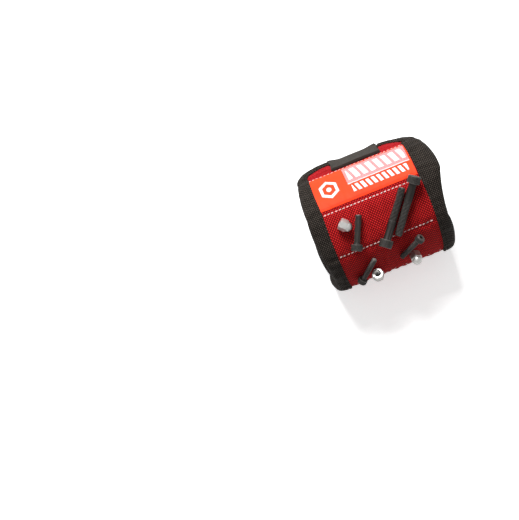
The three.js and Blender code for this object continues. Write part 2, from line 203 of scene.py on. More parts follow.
def grid_faces(rows, columns, offset=0, flip=False, closed=False):
    """Quads over a rows x columns grid of points. closed joins the last column to the first."""
    faces = []
    spans = columns if closed else columns - 1
    for r in range(rows - 1):
        for c in range(spans):
            a = offset + r * columns + c
            b = offset + r * columns + (c + 1) % columns
            quad = (a, b, b + columns, a + columns)
            faces.append(quad[::-1] if flip else quad)
    return faces


def slab(name, top, under, uv, sharp=None):
    """A closed sheet between two equal grids of points, shaped (rows, columns, 3). top faces outwards."""
    rows, columns = top.shape[:2]
    count = rows * columns
    faces = grid_faces(rows, columns) + grid_faces(rows, columns, count, flip=True)
    rim = list(range(columns))
    rim += [r * columns + columns - 1 for r in range(1, rows)]
    rim += [(rows - 1) * columns + c for c in range(columns - 2, -1, -1)]
    rim += [r * columns for r in range(rows - 2, 0, -1)]
    for i, a in enumerate(rim):
        b = rim[(i + 1) % len(rim)]
        faces.append((b, a, a + count, b + count))
    verts = np.concatenate([top.reshape(-1, 3), under.reshape(-1, 3)])
    return add_mesh(name, verts, faces, np.concatenate([uv.reshape(-1, 2)] * 2), sharp)


def loft(name, tubes, uv=None, sharp=None, flip=False):
    """A mesh of closed tubes, each through equal rings of points, shaped (rings, around, 3)."""
    verts, faces = [], []
    for rings in tubes:
        count, around = rings.shape[:2]
        start = len(verts)
        first = tuple(range(start, start + around))
        last = tuple(k + (count - 1) * around for k in first)
        faces += grid_faces(count, around, start, flip, closed=True)
        faces += [first, last[::-1]] if flip else [first[::-1], last]
        verts.extend(rings.reshape(-1, 3))
    return add_mesh(name, verts, faces, uv, sharp)


def ripple(x, y, seed, size):
    """Smooth repeatable unevenness between about -1 and 1, with bumps about size across."""
    total = 0.0
    for k in range(5):
        turn = seed * 1.7 + k * 2.399
        pitch = 2 * math.pi / (size * (0.75 + 0.17 * ((seed + k * 3) % 5)))
        total = total + np.sin((x * math.cos(turn) + y * math.sin(turn)) * pitch + seed * 5.1 + k * 1.3)
    return total / 3.0


def smoothstep(low, high, value):
    t = np.clip((np.asarray(value, float) - low) / (high - low), 0, 1)
    return t * t * (3 - 2 * t)


def mix(a, b, share):
    return a + (b - a) * share


def unit(vector):
    return vector / np.linalg.norm(vector)


def fabric_uv(across, along):
    """Fabric coordinates for the materials, from millimetres."""
    return np.stack(np.broadcast_arrays(across, along), axis=-1) * 0.01


def across_points(half, step):
    return np.linspace(-half, half, int(2 * half / step) + 1)


def smooth_loop(points, steps):
    """A closed curve through control points, with steps samples from each to the next."""
    before, after, beyond = (np.roll(points, k, 0) for k in (1, -1, -2))
    t = (np.arange(steps) / steps)[:, None, None]
    curve = 0.5 * (
        2 * points
        + (after - before) * t
        + (2 * before - 5 * points + 4 * after - beyond) * t**2
        + (3 * points - before - 3 * after + beyond) * t**3
    )
    return curve.transpose(1, 0, 2).reshape(-1, 2)


# ---- Cloth simulation: wrinkles in the outer fabric of rows 1 to 5 ----

# In millimetres. The solver works best on cloth about a metre across, so the fabric is enlarged for it.
CLOTH = {"half": 40.0, "step": 1.0, "apart": 60.0, "enlarge": 10.0, "frames": 30}
# shrink_min is negative, so the fabric is 3 percent larger than its place.
CLOTH_SETTINGS = {
    "quality": 6, "mass": 0.2, "air_damping": 4, "tension_stiffness": 15, "compression_stiffness": 15,
    "shear_stiffness": 5, "bending_stiffness": 2, "shrink_min": -0.03,
    "use_pressure": True, "uniform_pressure_force": 3.0, "vertex_group_mass": "sewn",
}
WRINKLE_SMOOTHING = 9  # steps
WRINKLE_CAP = 0.3
LABEL_FIRMNESS = 0.5  # how much of row 1's wrinkling its label lets through
PADDED_ROWS = range(1, 6)
WRINKLES = {}  # by row number, once simulated: a grid of heights up the row and across it


def cloth_sheet(number):
    """(points, which of them are sewn down) of a row's fabric: flat, but for what it buckles from."""
    length = ROWS[number].length
    across = across_points(CLOTH["half"], CLOTH["step"])
    x, y = np.meshgrid(across, np.linspace(0, length, int(length / CLOTH["step"]) + 1))
    sewn = (np.abs(x) == CLOTH["half"]) | (y == 0) | (y == length)
    z = np.where(sewn, 0, 0.15 * ripple(x, y, number + 2, 6.0))
    return np.stack([x, y + number * CLOTH["apart"], z], axis=-1), sewn


def add_cloth(sheets, sewn):
    """One enlarged mesh of all the sheets, with cloth that its pads push outwards and its stitches hold."""
    lines, columns = sewn[0].shape
    faces = []
    for k in range(len(sheets)):
        faces += grid_faces(lines, columns, k * lines * columns)
    cloth = add_mesh("cover_cloth", np.array(sheets) * CLOTH["enlarge"] * MM, faces)
    group = cloth.vertex_groups.new(name="sewn")
    group.add(np.flatnonzero(np.array(sewn)).tolist(), 1.0, "REPLACE")
    modifier = cloth.modifiers.new("cloth", "CLOTH")
    for setting, value in CLOTH_SETTINGS.items():
        setattr(modifier.settings, setting, value)
    modifier.settings.effector_weights.gravity = 0
    modifier.collision_settings.use_collision = False
    modifier.point_cache.frame_start = 1
    modifier.point_cache.frame_end = CLOTH["frames"]
    return cloth


def settle(cloth):
    """Steps the cloth to its last frame, reads its heights in millimetres and removes it."""
    scene = bpy.context.scene
    for number in range(1, CLOTH["frames"] + 1):
        scene.frame_set(number)
    settled = cloth.evaluated_get(bpy.context.evaluated_depsgraph_get())
    mesh = settled.to_mesh()
    points = np.empty(len(mesh.vertices) * 3, np.float32)
    mesh.vertices.foreach_get("co", points)
    settled.to_mesh_clear()
    scene.frame_set(1)
    bpy.data.objects.remove(cloth)
    return points.reshape(-1, 3)[:, 2] / MM / CLOTH["enlarge"]


def smooth_rows(grid, kernel, passes):
    """Smooths each line of a grid along itself."""
    reach = len(kernel) // 2
    for _ in range(passes):
        padded = np.pad(grid, ((0, 0), (reach, reach)), mode="edge")
        grid = np.array([np.convolve(line, kernel, "valid") for line in padded])
    return grid


def finer(grid):
    """The grid at half its step, rounded."""
    for _ in range(2):
        steps = np.arange(0, grid.shape[1] - 0.75, 0.5)
        grid = np.array([np.interp(steps, np.arange(grid.shape[1]), line) for line in grid])
        grid = smooth_rows(grid, np.array([0.25, 0.5, 0.25]), 1).T
    return grid


def simulate_wrinkles():
    """Keeps what the cloth does between one stitch and the next, and leaves out its overall swelling."""
    made = [cloth_sheet(number) for number in PADDED_ROWS]
    heights = settle(add_cloth([points for points, _ in made], [sewn for _, sewn in made]))
    kernel = np.ones(WRINKLE_SMOOTHING) / WRINKLE_SMOOTHING
    for number, grid in zip(PADDED_ROWS, heights.reshape(len(made), *made[0][1].shape)):
        WRINKLES[number] = finer(grid - smooth_rows(grid, kernel, 3))


def wrinkle_at(number, x, share):
    if number not in WRINKLES:
        return 0.0
    grid = WRINKLES[number]
    lines, columns = grid.shape
    line = float(np.clip(share, 0, 1)) * (lines - 1)
    low = min(int(line), lines - 2)
    steps = (np.asarray(x, float) + CLOTH["half"]) / (2 * CLOTH["half"]) * (columns - 1)
    first, second = (np.interp(steps, np.arange(columns), grid[k]) for k in (low, low + 1))
    firmness = LABEL_FIRMNESS if number == 1 else 1.0
    return firmness * np.clip(mix(first, second, line - low), -WRINKLE_CAP, WRINKLE_CAP)


simulate_wrinkles()

# ---- Shapes of the padded rows ----


def swell(share):
    """How full a row is: 0 at its stitches, 1 over its crown."""
    return 1 - np.abs(1 - 2 * np.clip(share, 0, 1)) ** 3.2


def hem_at(number, side, share):
    """How far from the middle the binding's inner hem runs beside a row."""
    high, low = HEM_AT_SEAM[side][number - 1], HEM_AT_SEAM[side][number]
    return mix(low, high, np.clip(share, 0, 1)) + 0.5 * np.sin(math.pi * np.clip(share, 0, 1))


def edge_at(number, side, share):
    """How far from the middle the binding's outer edge runs beside a row."""
    share = np.clip(share, 0, 1)
    high, low = EDGE_AT_SEAM[side][number - 1], EDGE_AT_SEAM[side][number]
    straight = mix(low, high, share)
    bulge = EDGE_OVER_ROW[side][number - 1] - (low + high) / 2
    return straight + bulge * np.sin(math.pi * share) ** 0.75


def cover_height(number, x, share):
    full = swell(share)
    hem = np.where(x < 0, hem_at(number, -1, share), hem_at(number, 1, share))
    edge = 1 - 0.05 * smoothstep(-7, 0, np.abs(x) - hem)
    height = SEAM_HEIGHT + (CROWN_HEIGHT - SEAM_HEIGHT) * full * edge
    height = height + 0.12 * full * ripple(x, share * 34, number, 17.0)
    height = height + wrinkle_at(number, x, share) * smoothstep(0, 5, hem - np.abs(x))
    height = height - 1.8 * full * smoothstep(0, 1.5, np.abs(x) - np.maximum(hem + 0.5, PAD_HALF))
    return np.minimum(height, RESTING) if number == 5 else height


def lining_height(number, x, share):
    full = swell(share)
    height = LINING_SEAM + (LINING_CROWN - LINING_SEAM) * full
    return height + 0.12 * full * ripple(x, share * 34, number + 9, 15.0)


def flare_angle(x):
    side = np.where(x < STRAP["middle"], FLARE[-1], FLARE[1])
    beside_strap = smoothstep(-3.6, 1.0, np.abs(x - STRAP["middle"]) - STRAP["half"])
    return (side - FLARE_DROOP * smoothstep(22, 46, np.abs(x))) * beside_strap


def place_on(number, x, share, n):
    """As Row.mitred, but the flap stands out of its plane beside the strap."""
    row = ROWS[number]
    if number > 0:
        return row.mitred(x, share, n)
    low = -n * row.lean_low
    y = low + share * (row.length - low)
    turn = flare_angle(x) * smoothstep(0, 5, y)
    return row.place(x, y * np.cos(turn) - n * np.sin(turn), y * np.sin(turn) + n * np.cos(turn))


def half_shares(count):
    """Shares from 0 at a seam to 0.5 at the crown, closer together near the seam."""
    return 0.5 * np.linspace(0, 1, count) ** 1.5


def seam_stations(seam, count):
    """(row number, share) up the band, from the crown below a seam to the crown above it."""
    shares = half_shares(count)
    below = [(seam + 1, 1 - s) for s in shares[::-1]] if seam < 5 else []
    above = [(seam, s) for s in (shares[1:] if below else shares)] if seam > 0 else []
    return below + above


def sheet_points(stations, x, height):
    """Points and fabric coordinates of a sheet at height(number, x, share) over the stations."""
    points, coords = [], []
    for number, share in stations:
        row = ROWS[number]
        points.append(row.mitred(x, share, height(number, x, share)))
        coords.append(fabric_uv(x, (share - number) * row.length))
    return np.array(points), np.array(coords)


def blend_over(piece, hinge, first, second, reach):
    """Bakes piece's transform into its mesh; nothing bends it over the hinge point. first and second are
    (body, direction away from the hinge); their bodies are not used.
    """
    start, end = (hinge + away * reach for _, away in (first, second))
    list(start * MM)
    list(end * MM)
    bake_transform(piece)


def blend_over_seam(piece, seam):
    if seam == 0:
        blend_over_flap(piece)
        return
    upper, lower = ROWS[seam], ROWS[seam + 1]
    sides = (upper.body, upper.along), (lower.body, -lower.along)
    blend_over(piece, hinge_point(HINGES[seam]), *sides, SEAM_REACH)


def blend_over_flap(piece):
    """Bakes the piece's transform into its mesh; nothing turns it with the flap. The flap's flared sides
    already lie open.
    """
    label = ROWS[1]
    inwards = label.along * math.cos(FLAP_TURN) - label.out * math.sin(FLAP_TURN)
    start, end = (hinge_point(HINGES[0]) + inwards * reach for reach in FLAP_REACH)
    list(start * MM)
    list(end * MM)
    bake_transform(piece)


# ---- Materials ----


class Value:
    """What a material's node gives. Working with it adds the nodes that work the result out."""

    def __init__(self, tree, socket):
        self.tree = tree
        self.socket = socket

    def math(self, operation, *others):
        made = self.tree.nodes.new("ShaderNodeMath")
        made.operation = operation
        for socket, value in zip(made.inputs, (self, *others)):
            feed(socket, value)
        return Value(self.tree, made.outputs[0])

    def __add__(self, other):
        return self.math("ADD", other)

    def __mul__(self, other):
        return self.math("MULTIPLY", other)

    def ridges(self, pitch):
        """Rounded ridges from 0 to 1, pitch apart."""
        return (self * (math.pi / pitch)).math("SINE").math("ABSOLUTE")

    def between(self, low, high):
        return self.math("GREATER_THAN", low) * self.math("LESS_THAN", high)

    def ramp(self, low, high):
        """0 below low, 1 above high and straight between them."""
        return add_node(self.tree, "ShaderNodeMapRange", Value=self, From_Min=low, From_Max=high)

    def mix(self, a, b):
        """Colour a where this is 0, and b where it is 1."""
        made = self.tree.nodes.new("ShaderNodeMix")
        made.data_type = "RGBA"
        for index, value in ((0, self), (6, a), (7, b)):
            feed(made.inputs[index], value)
        return Value(self.tree, made.outputs[2])


def feed(socket, value):
    """Links a Value to a node's input, or sets the input to a number or a colour."""
    if isinstance(value, Value):
        value.tree.links.new(value.socket, socket)
    else:
        socket.default_value = (*value, 1.0) if isinstance(value, tuple) else value


def add_node(tree, kind, output=0, **inputs):
    made = tree.nodes.new(kind)
    for key, value in inputs.items():
        feed(made.inputs[key.replace("_", " ")], value)
    return Value(tree, made.outputs[output])


class Shader:
    """A material, with short names for what paints it. Sizes are in millimetres."""

    def __init__(self, name):
        self.material = bpy.data.materials.new(name)
        self.material.use_nodes = True
        self.tree = self.material.node_tree

    def fabric_mm(self):
        """Fabric coordinates, across the piece and along it."""
        uv = add_node(self.tree, "ShaderNodeTexCoord", "UV")
        return [add_node(self.tree, "ShaderNodeSeparateXYZ", axis, Vector=uv) * 100.0 for axis in "XY"]

    def texture(self, kind, per_mm, output=0, **inputs):
        place = add_node(self.tree, "ShaderNodeTexCoord", "Object")
        return add_node(self.tree, "ShaderNodeTex" + kind, output, Vector=place, Scale=per_mm / MM, **inputs)

    def noise(self, per_mm, detail=2.0):
        return self.texture("Noise", per_mm, Detail=detail)

    def bump(self, height, depth, strength=1.0):
        self.set(Normal=add_node(
            self.tree, "ShaderNodeBump", Height=height, Distance=depth * MM, Strength=strength
        ))

    def set(self, **inputs):
        for key, value in inputs.items():
            feed(self.tree.nodes["Principled BSDF"].inputs[key.replace("_", " ")], value)


def basket_weave(shader, pitch, gap, deep, bright, patch, speckle, roughness, relief):
    """gap, deep and bright are painted light on one dyed yarn: gap is painted shade between the cells, and
    deep and bright are a shaded and a lit copy of the yarn on the two yarn directions, bright as a painted
    highlight. patch is the size of its tone changes in mm, and speckle how many times a millimetre a yarn's
    own brightness changes."""
    u, v = shader.fabric_mm()
    height = (u.ridges(pitch) * v.ridges(pitch)).math("POWER", 0.5)
    cell_u, cell_v = (axis.math("DIVIDE", pitch).math("FLOOR") for axis in (u, v))
    # The cells of one yarn direction get the painted highlight colour, the others the shaded copy.
    lit_warp_cells = (cell_u + cell_v).math("FLOORED_MODULO", 2.0)
    fibres = shader.noise(speckle)
    low = shader.noise(1 / patch, 3.0).ramp(0.3, 0.7).mix(tuple(c * 0.8 for c in deep), deep)
    high = fibres.ramp(0.35, 0.65).mix(tuple(c * 0.5 for c in bright), bright)
    # Painted shade in the gaps between the cells, where the weave's height is low.
    colour = height.ramp(0.1, 0.7).mix(gap, (lit_warp_cells * 0.85).mix(low, high))
    shader.set(Base_Color=colour, Roughness=roughness, Specular_IOR_Level=0.08)
    shader.bump(height + lit_warp_cells * 0.35 + fibres * 0.4, relief, 0.8)


def red_weave(shader):
    # Painted light: gap is painted shade between the yarn cells, bright a painted highlight on one yarn
    # direction and deep the shaded copy of the same red.
    basket_weave(
        shader, pitch=1.1, gap=(0.03, 0.0002, 0.0004), deep=(0.15, 0.001, 0.002), bright=(1.0, 0.032, 0.034),
        patch=14.0, speckle=5.0, roughness=0.75, relief=0.3,
    )


def black_binding(shader):
    # Painted light: gap is painted shade between the yarn cells, bright a painted highlight on one yarn
    # direction and deep the shaded copy of the same black.
    basket_weave(
        shader, pitch=1.0, gap=(0.001, 0.0008, 0.0006), deep=(0.005, 0.004, 0.003),
        bright=(0.085, 0.068, 0.056), patch=6.0, speckle=0.9, roughness=0.65, relief=0.35,
    )


def black_lining(shader):
    """Spacer mesh: round open holes in rows, over a black knit."""
    u, v = shader.fabric_mm()
    flat = add_node(shader.tree, "ShaderNodeCombineXYZ", X=u, Y=v)
    cells = {"Vector": flat, "Scale": 0.55, "Randomness": 0.15}
    hole = add_node(shader.tree, "ShaderNodeTexVoronoi", "Distance", **cells).ramp(0.25, 0.45)
    # The holes are painted darker than the knit: painted shade inside them.
    shader.set(Base_Color=hole.mix((0.003, 0.003, 0.003), (0.028, 0.028, 0.030)), Roughness=0.85)
    shader.bump(hole, 0.4, 0.9)


def grey_strap(shader):
    """Matte weave with fine ribs along the strap."""
    u, v = shader.fabric_mm()
    spots = shader.noise(1.2, 4.0)
    ribs = u.ridges(0.8) * (v.ridges(0.5) + 0.6)
    tone = spots.mix((0.024, 0.020, 0.017), (0.052, 0.045, 0.039))
    # The grooves between the ribs are painted darker: painted shade.
    colour = ribs.ramp(0.0, 0.7).mix((0.011, 0.009, 0.008), tone)
    shader.set(Base_Color=colour, Roughness=0.85, Specular_IOR_Level=0.15)
    shader.bump(ribs + spots, 0.12, 0.7)


def red_loop_pile(shader):
    """Brushed loops: short fuzzy fibres whose tips are paler than the hollows between the tufts, which are
    painted dark as painted shade.
    """
    tufts = shader.noise(2.2, 5.0)
    tips = shader.noise(0.12).mix((0.36, 0.010, 0.014), (0.50, 0.022, 0.028))
    # The hollows between the tufts, where the bump is low, are painted dark: painted shade.
    colour = tufts.ramp(0.35, 0.65).mix((0.15, 0.002, 0.004), tips)
    shader.set(Base_Color=colour, Roughness=0.95, Specular_IOR_Level=0.1)
    shader.set(Sheen_Weight=0.08, Sheen_Tint=(1.0, 0.35, 0.35))
    shader.bump(tufts, 0.5, 0.7)


def white_thread(shader):
    """Lock-stitch thread."""
    fibres = shader.noise(3.0, 4.0)
    shader.set(Base_Color=fibres.mix((0.56, 0.38, 0.36), (0.84, 0.68, 0.65)), Roughness=0.6)
    shader.bump(fibres, 0.08, 0.6)


def hook_tape(shader):
    spots = shader.noise(0.8, 3.0)
    shader.set(Base_Color=spots.mix((0.016, 0.017, 0.016), (0.045, 0.046, 0.043)), Roughness=0.5)
    shader.bump(spots, 0.08)


def black_steel(shader):
    """Black oxide: dark and slightly oily, painted brighter on convex edges and thread crests as a painted
    highlight.
    """
    grain = shader.noise(1.6, 5.0)
    pointed = add_node(shader.tree, "ShaderNodeNewGeometry", "Pointiness")
    oxide = grain.mix((0.006, 0.005, 0.004), (0.018, 0.015, 0.013))
    # Pointiness paints convex edges and thread crests brighter: a painted highlight.
    colour = (pointed + grain * 0.08).ramp(0.54, 0.64).mix(oxide, (0.15, 0.14, 0.13))
    shader.set(Base_Color=colour, Roughness=grain * 0.25 + 0.33, Metallic=0.25, Specular_IOR_Level=0.32)
    shader.bump(grain, 0.03, 0.4)


def bright_zinc(shader):
    """Zinc plate: bright, with faint clouding and fine scratches."""
    scratch = shader.noise(4.0, 3.0)
    colour = shader.noise(0.5, 4.0).mix((0.44, 0.435, 0.42), (0.66, 0.65, 0.63))
    shader.set(Base_Color=colour, Roughness=scratch * 0.12 + 0.34, Metallic=1.0)
    shader.bump(scratch, 0.004, 0.3)


def magnet_nickel(shader):
    clouds = shader.noise(0.7, 3.0)
    colour = clouds.mix((0.48, 0.46, 0.42), (0.68, 0.66, 0.61))
    shader.set(Base_Color=colour, Roughness=clouds * 0.2 + 0.15, Metallic=1.0)


def foam(shader):
    """Open-cell foam."""
    pores = shader.texture("Voronoi", 1.6, "Distance").ramp(0.1, 0.6)
    # The pores are painted darker than their walls: painted shade inside them.
    shader.set(Base_Color=pores.mix((0.02, 0.02, 0.02), (0.11, 0.11, 0.11)), Roughness=0.95)
    shader.bump(pores, 0.5, 0.8)


# The label's print, and a line of painted shade along its fold: where things are across and up it, in
# millimetres.
LABEL_NUT = {"across": -25.5, "up": 17.0, "inner": 4.6, "outer": 6.8, "bore": 1.9}
LABEL_BLOCK = ((-11.0, 38.0), (15.2, 31.0))
LABEL_RULE = ((-11.0, 38.0), (15.2, 15.8))
# A thin line along the label's fold, painted dark: painted shade, not print.
LABEL_FOLD_SHADE = (3.4, 3.8)
STRIPE_PITCH = 0.95
BAR_LEAN = 0.3
# Two rows of bars: their place, their pitch and the share of it that is gap.
LABEL_BARS = [((-9.0, 36.5), (18.6, 28.2), 6.2, 0.38), ((-9.0, 35.0), (7.6, 13.6), 4.3, 0.4)]


def orange_label(shader):
    """Printed label: a nut outline, two rows of slanted bars and a striped block. It has no lettering."""
    u, v = shader.fabric_mm()

    def inside(across, up):
        return u.between(*across) * v.between(*up)

    nut_u = (u + -LABEL_NUT["across"]).math("ABSOLUTE")
    nut_v = (v + -LABEL_NUT["up"]).math("ABSOLUTE")
    nut = nut_u.math("MAXIMUM", nut_v * 0.866 + nut_u * 0.5).between(LABEL_NUT["inner"], LABEL_NUT["outer"])
    bore = (nut_u * nut_u + nut_v * nut_v).math("LESS_THAN", LABEL_NUT["bore"] ** 2)
    white = nut.math("MAXIMUM", bore).math("MAXIMUM", inside(*LABEL_RULE))
    for across, up, pitch, gap in LABEL_BARS:
        bars = (v * BAR_LEAN + u).math("DIVIDE", pitch).math("FRACT").math("GREATER_THAN", gap)
        white = white.math("MAXIMUM", bars * inside(across, up))
    orange = shader.noise(0.08).mix((0.84, 0.036, 0.005), (0.95, 0.054, 0.009))
    stripes = v.math("DIVIDE", STRIPE_PITCH).math("FRACT").math("LESS_THAN", 0.5)
    pink = stripes.mix((0.80, 0.11, 0.10), (0.78, 0.34, 0.36))
    printed = white.mix(inside(*LABEL_BLOCK).mix(orange, pink), (0.80, 0.66, 0.67))
    # The fold line is painted dark: painted shade.
    colour = (v.between(*LABEL_FOLD_SHADE) * 0.6).mix(printed, (0.30, 0.010, 0.006))
    shader.set(Base_Color=colour, Roughness=0.6, Specular_IOR_Level=0.15)
    shader.bump(shader.noise(1.5, 3.0), 0.03, 0.5)


def make_material(paint):
    """The material that a function paints, named after the function."""
    shader = Shader(paint.__name__)
    paint(shader)
    return shader.material


PAINTS = (
    red_weave, black_binding, black_lining, white_thread, orange_label, red_loop_pile, grey_strap, hook_tape,
    black_steel, bright_zinc, foam, magnet_nickel,
)
MATERIALS = {paint.__name__: make_material(paint) for paint in PAINTS}


def paint_with(obj, slot):
    obj.data.materials.clear()
    obj.data.materials.append(MATERIALS[slot])


def dress(piece, slot, *nodes):
    """Gives a piece its material, and hides the CAD nodes that it stands for."""
    paint_with(piece, slot)
    if nodes:
        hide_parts(*nodes)
    return piece


# ---- Covers, lining and label ----

HALF_STATIONS = 36


def build_sheet(name, seam, x, top_height, thick, slot, node):
    stations = seam_stations(seam, HALF_STATIONS)
    top, uv = sheet_points(stations, x, top_height)
    under, _ = sheet_points(stations, x, lambda k, a, s: top_height(k, a, s) - thick)
    nodes = [f"row_{seam + 1}_{node}"] if seam < 5 else []
    blend_over_seam(dress(slab(name, top, under, uv, sharp=60), slot, *nodes), seam)


def build_covers_and_lining():
    x = across_points(TUCK_HALF, 0.6)
    for seam in range(6):
        build_sheet(f"cover_seam_{seam}", seam, x, cover_height, COVER_THICK, "red_weave", "cover")
        build_sheet(
            f"lining_seam_{seam}", seam, x[::2], lambda k, a, s: lining_height(k, a, s) + LINING_THICK,
            LINING_THICK, "black_lining", "lining",
        )


def build_label():
    x = np.linspace(-LABEL_HALF, LABEL_HALF, 131)
    shares = np.linspace(0.055, 0.955, 70)
    row = ROWS[1]

    def height(share, lift):
        fade = smoothstep(0, 0.03, share - shares[0]) * smoothstep(0, 0.03, shares[-1] - share)
        return cover_height(1, x, share) + lift * (0.5 + 0.5 * fade)

    top = np.array([row.mitred(x, s, height(s, LABEL_THICK)) for s in shares])
    under = np.array([row.mitred(x, s, height(s, 0.0) - 0.05) for s in shares])
    uv = np.array([fabric_uv(x, s * row.length) for s in shares])
    blend_over_seam(dress(slab("label_print", top, under, uv, sharp=40), "orange_label", "label"), 0)


# ---- Bindings: one tape folded round the band's edge ----

LOOP_STEPS = 4


def binding_ring(number, edge, out, width, share, heights):
    """One ring of the folded tape. edge is its outer edge and out the outward direction, both as (x, y), and
    heights are (top, under, fabric at the hem, lining at the hem)."""
    top, under, fabric, lining = heights
    scale = min(1.0, width / 7.0)
    loop = np.array([
        (0.0, fabric - 0.25),
        (0.1 * scale, mix(fabric, top, 0.72)),
        (0.8 * scale, top * 0.98 + 0.02 * fabric),
        (1.9 * scale, top),
        (2.5 * scale, top - 0.32 * scale),
        (3.2 * scale, top),
        (width * 0.68, mix(top, under, 0.06)),
        (width * 0.93, mix(top, under, 0.24)),
        (width, mix(top, under, 0.5)),
        (width * 0.93, mix(top, under, 0.76)),
        (width * 0.68, mix(top, under, 0.95)),
        (2.0 * scale, under),
        (0.2 * scale, mix(lining, under, 0.85)),
        (0.0, lining + 0.2),
        (0.6 * scale, (fabric + lining) / 2),
    ])
    points = smooth_loop(loop, LOOP_STEPS)
    p, n = points[:, 0], points[:, 1]
    row = ROWS[number]
    x = edge[0] - out[0] * (width - p)
    y_share = share + (edge[1] - out[1] * (width - p)) / row.length
    steps = np.linalg.norm(np.diff(points, axis=0, append=points[:1]), axis=1)
    around = np.concatenate([[0], np.cumsum(steps)[:-1]])
    return x, y_share, n, around


def finish_ring(number, ring, travelled, seed, wrinkle):
    """Places a ring, with wrinkles across the tape. travelled is how far along the tape it is."""
    x, y_share, n, around = ring
    folds = ripple(travelled, around * 0.12, seed, 4.2) * wrinkle
    soft = ripple(travelled, around * 0.5, seed + 2, 9.0) * 0.22
    n = n * (1 + 0.12 * (folds + 2 * soft))
    if number == 5:
        n = np.minimum(n, RESTING)
    return place_on(number, x, y_share, n), fabric_uv(around, travelled)


def row_ring(number, side, share, travelled):
    edge = edge_at(number, side, share)
    hem = hem_at(number, side, share)
    full = float(swell(share))
    top = mix(*BINDING_TOP, full)
    under = mix(*BINDING_UNDER, full)
    fabric = float(cover_height(number, np.array(side * (hem - 0.5)), share))
    lining = float(lining_height(number, np.array(side * hem), share))
    heights = (top, under, fabric, lining)
    ring = binding_ring(number, (side * edge, 0.0), (side, 0.0), edge - hem, share, heights)
    from_seam = ROWS[number].length * (0.5 - abs(share - 0.5))
    crumple = 1.5 if side < 0 and number in (3, 4) else 1.0
    wrinkle = crumple * (0.35 + 0.9 * math.exp(-from_seam / 5))
    return finish_ring(number, ring, travelled, 4 + side, wrinkle)


def band_rings(seam, side, upwards):
    """Rings beside a seam, up or down the band."""
    stations = seam_stations(seam, HALF_STATIONS)[::1 if upwards else -1]
    return [row_ring(k, side, s, (s - k) * ROWS[k].length) for k, s in stations]


def end_profile(ahead, width, size):
    """The tape's width, top and under, and the panel's faces, so far ahead of an end seam. They change
    smoothly from the row's to the thin end's."""
    change = float(smoothstep(0, size["change"], ahead))
    at_seam = (width, BINDING_TOP[0], BINDING_UNDER[0], SEAM_HEIGHT, LINING_SEAM)
    at_end = (size["edge"], size["top"], size["under"], *size["panel"])
    return [mix(a, b, change) for a, b in zip(at_seam, at_end)]


def outline_stations(corners, radii, step):
    """A path through corners, rounded at the inner ones, as (point, direction) every step or so."""
    corners = [np.array(c, float) for c in corners]
    path = []

    def straight(a, b):
        count = max(1, int(np.linalg.norm(b - a) / step))
        path.extend((mix(a, b, k / count), unit(b - a)) for k in range(count))

    start = corners[0]
    for before, corner, after, radius in zip(corners, corners[1:], corners[2:], radii):
        into, away = unit(corner - before), unit(after - corner)
        turn = math.atan2(into[0] * away[1] - into[1] * away[0], into @ away)
        cut = radius * math.tan(abs(turn) / 2)
        straight(start, corner - into * cut)
        side = np.array([-into[1], into[0]]) * math.copysign(1, turn)
        centre = corner - into * cut + side * radius
        count = max(2, int(abs(turn) * radius / step))
        for k in range(count):
            angle = turn * k / count
            c, s = math.cos(angle), math.sin(angle)
            spin = np.array([[c, -s], [s, c]])
            path.append((centre - spin @ side * radius, spin @ into))
        start = corner + away * cut
    straight(start, corners[-1])
    path.append((corners[-1], unit(corners[-1] - start)))
    return path


def distances(path):
    """How far along a path each of its points is."""
    steps = np.diff([point for point, _ in path], axis=0)
    return np.concatenate([[0.0], np.cumsum(np.linalg.norm(steps, axis=1))])


def end_rings(number, corners, size, starts):
    """Rings round a thin end panel. starts are the tape's widths where the outline begins and ends."""
    path = outline_stations(corners, [size["corner"]] * 2, 0.9)
    travelled = distances(path)
    rings = []
    for (point, direction), so_far in zip(path, travelled):
        near_start = so_far < travelled[-1] / 2
        ahead = so_far if near_start else travelled[-1] - so_far
        width, *heights = end_profile(ahead, starts[0] if near_start else starts[1], size)
        out = (direction[1], -direction[0])
        x, y_share, n, around = binding_ring(number, point, out, width, 0.0, heights)
        rings.append(finish_ring(number, (x, np.clip(y_share, 0, 1), n, around), so_far, 7, 0.6))
    return rings


def build_tube(name, rings, nodes, seam):
    points, uv = (np.array(part) for part in zip(*rings))
    blend_over_seam(dress(loft(name, [points], uv, sharp=75), "black_binding", *nodes), seam)


def build_bindings():
    for seam in range(1, 5):
        for side, word in ((1, "elbow"), (-1, "hand")):
            rings = band_rings(seam, side, upwards=side > 0)
            build_tube(f"binding_{word}_seam_{seam}", rings, [f"row_{seam + 1}_binding_{word}"], seam)


def seam_widths(seam, number):
    """The tape's outer edges and widths where it leaves a seam, for the elbow side and the hand side."""
    share = 1.0 if seam == 0 else 0.0
    edges = [float(edge_at(number, side, share)) for side in (1, -1)]
    hems = [float(hem_at(number, side, share)) for side in (1, -1)]
    return edges, [e - h for e, h in zip(edges, hems)]


def build_flap_binding():
    size = FLAP_SIZE
    (elbow, hand), widths = seam_widths(0, 1)
    far = size["length"]
    corners = [(elbow, 0.0), (size["half"], far), (-size["half"], far), (-hand, 0.0)]
    around = end_rings(0, corners, size, widths)
    up = band_rings(0, 1, upwards=True)[:-1]
    down = band_rings(0, -1, upwards=False)[1:]
    names = ["flap_binding", "row_1_binding_elbow", "row_1_binding_hand"]
    build_tube("flap_edge_binding", up + around + down, names, 0)


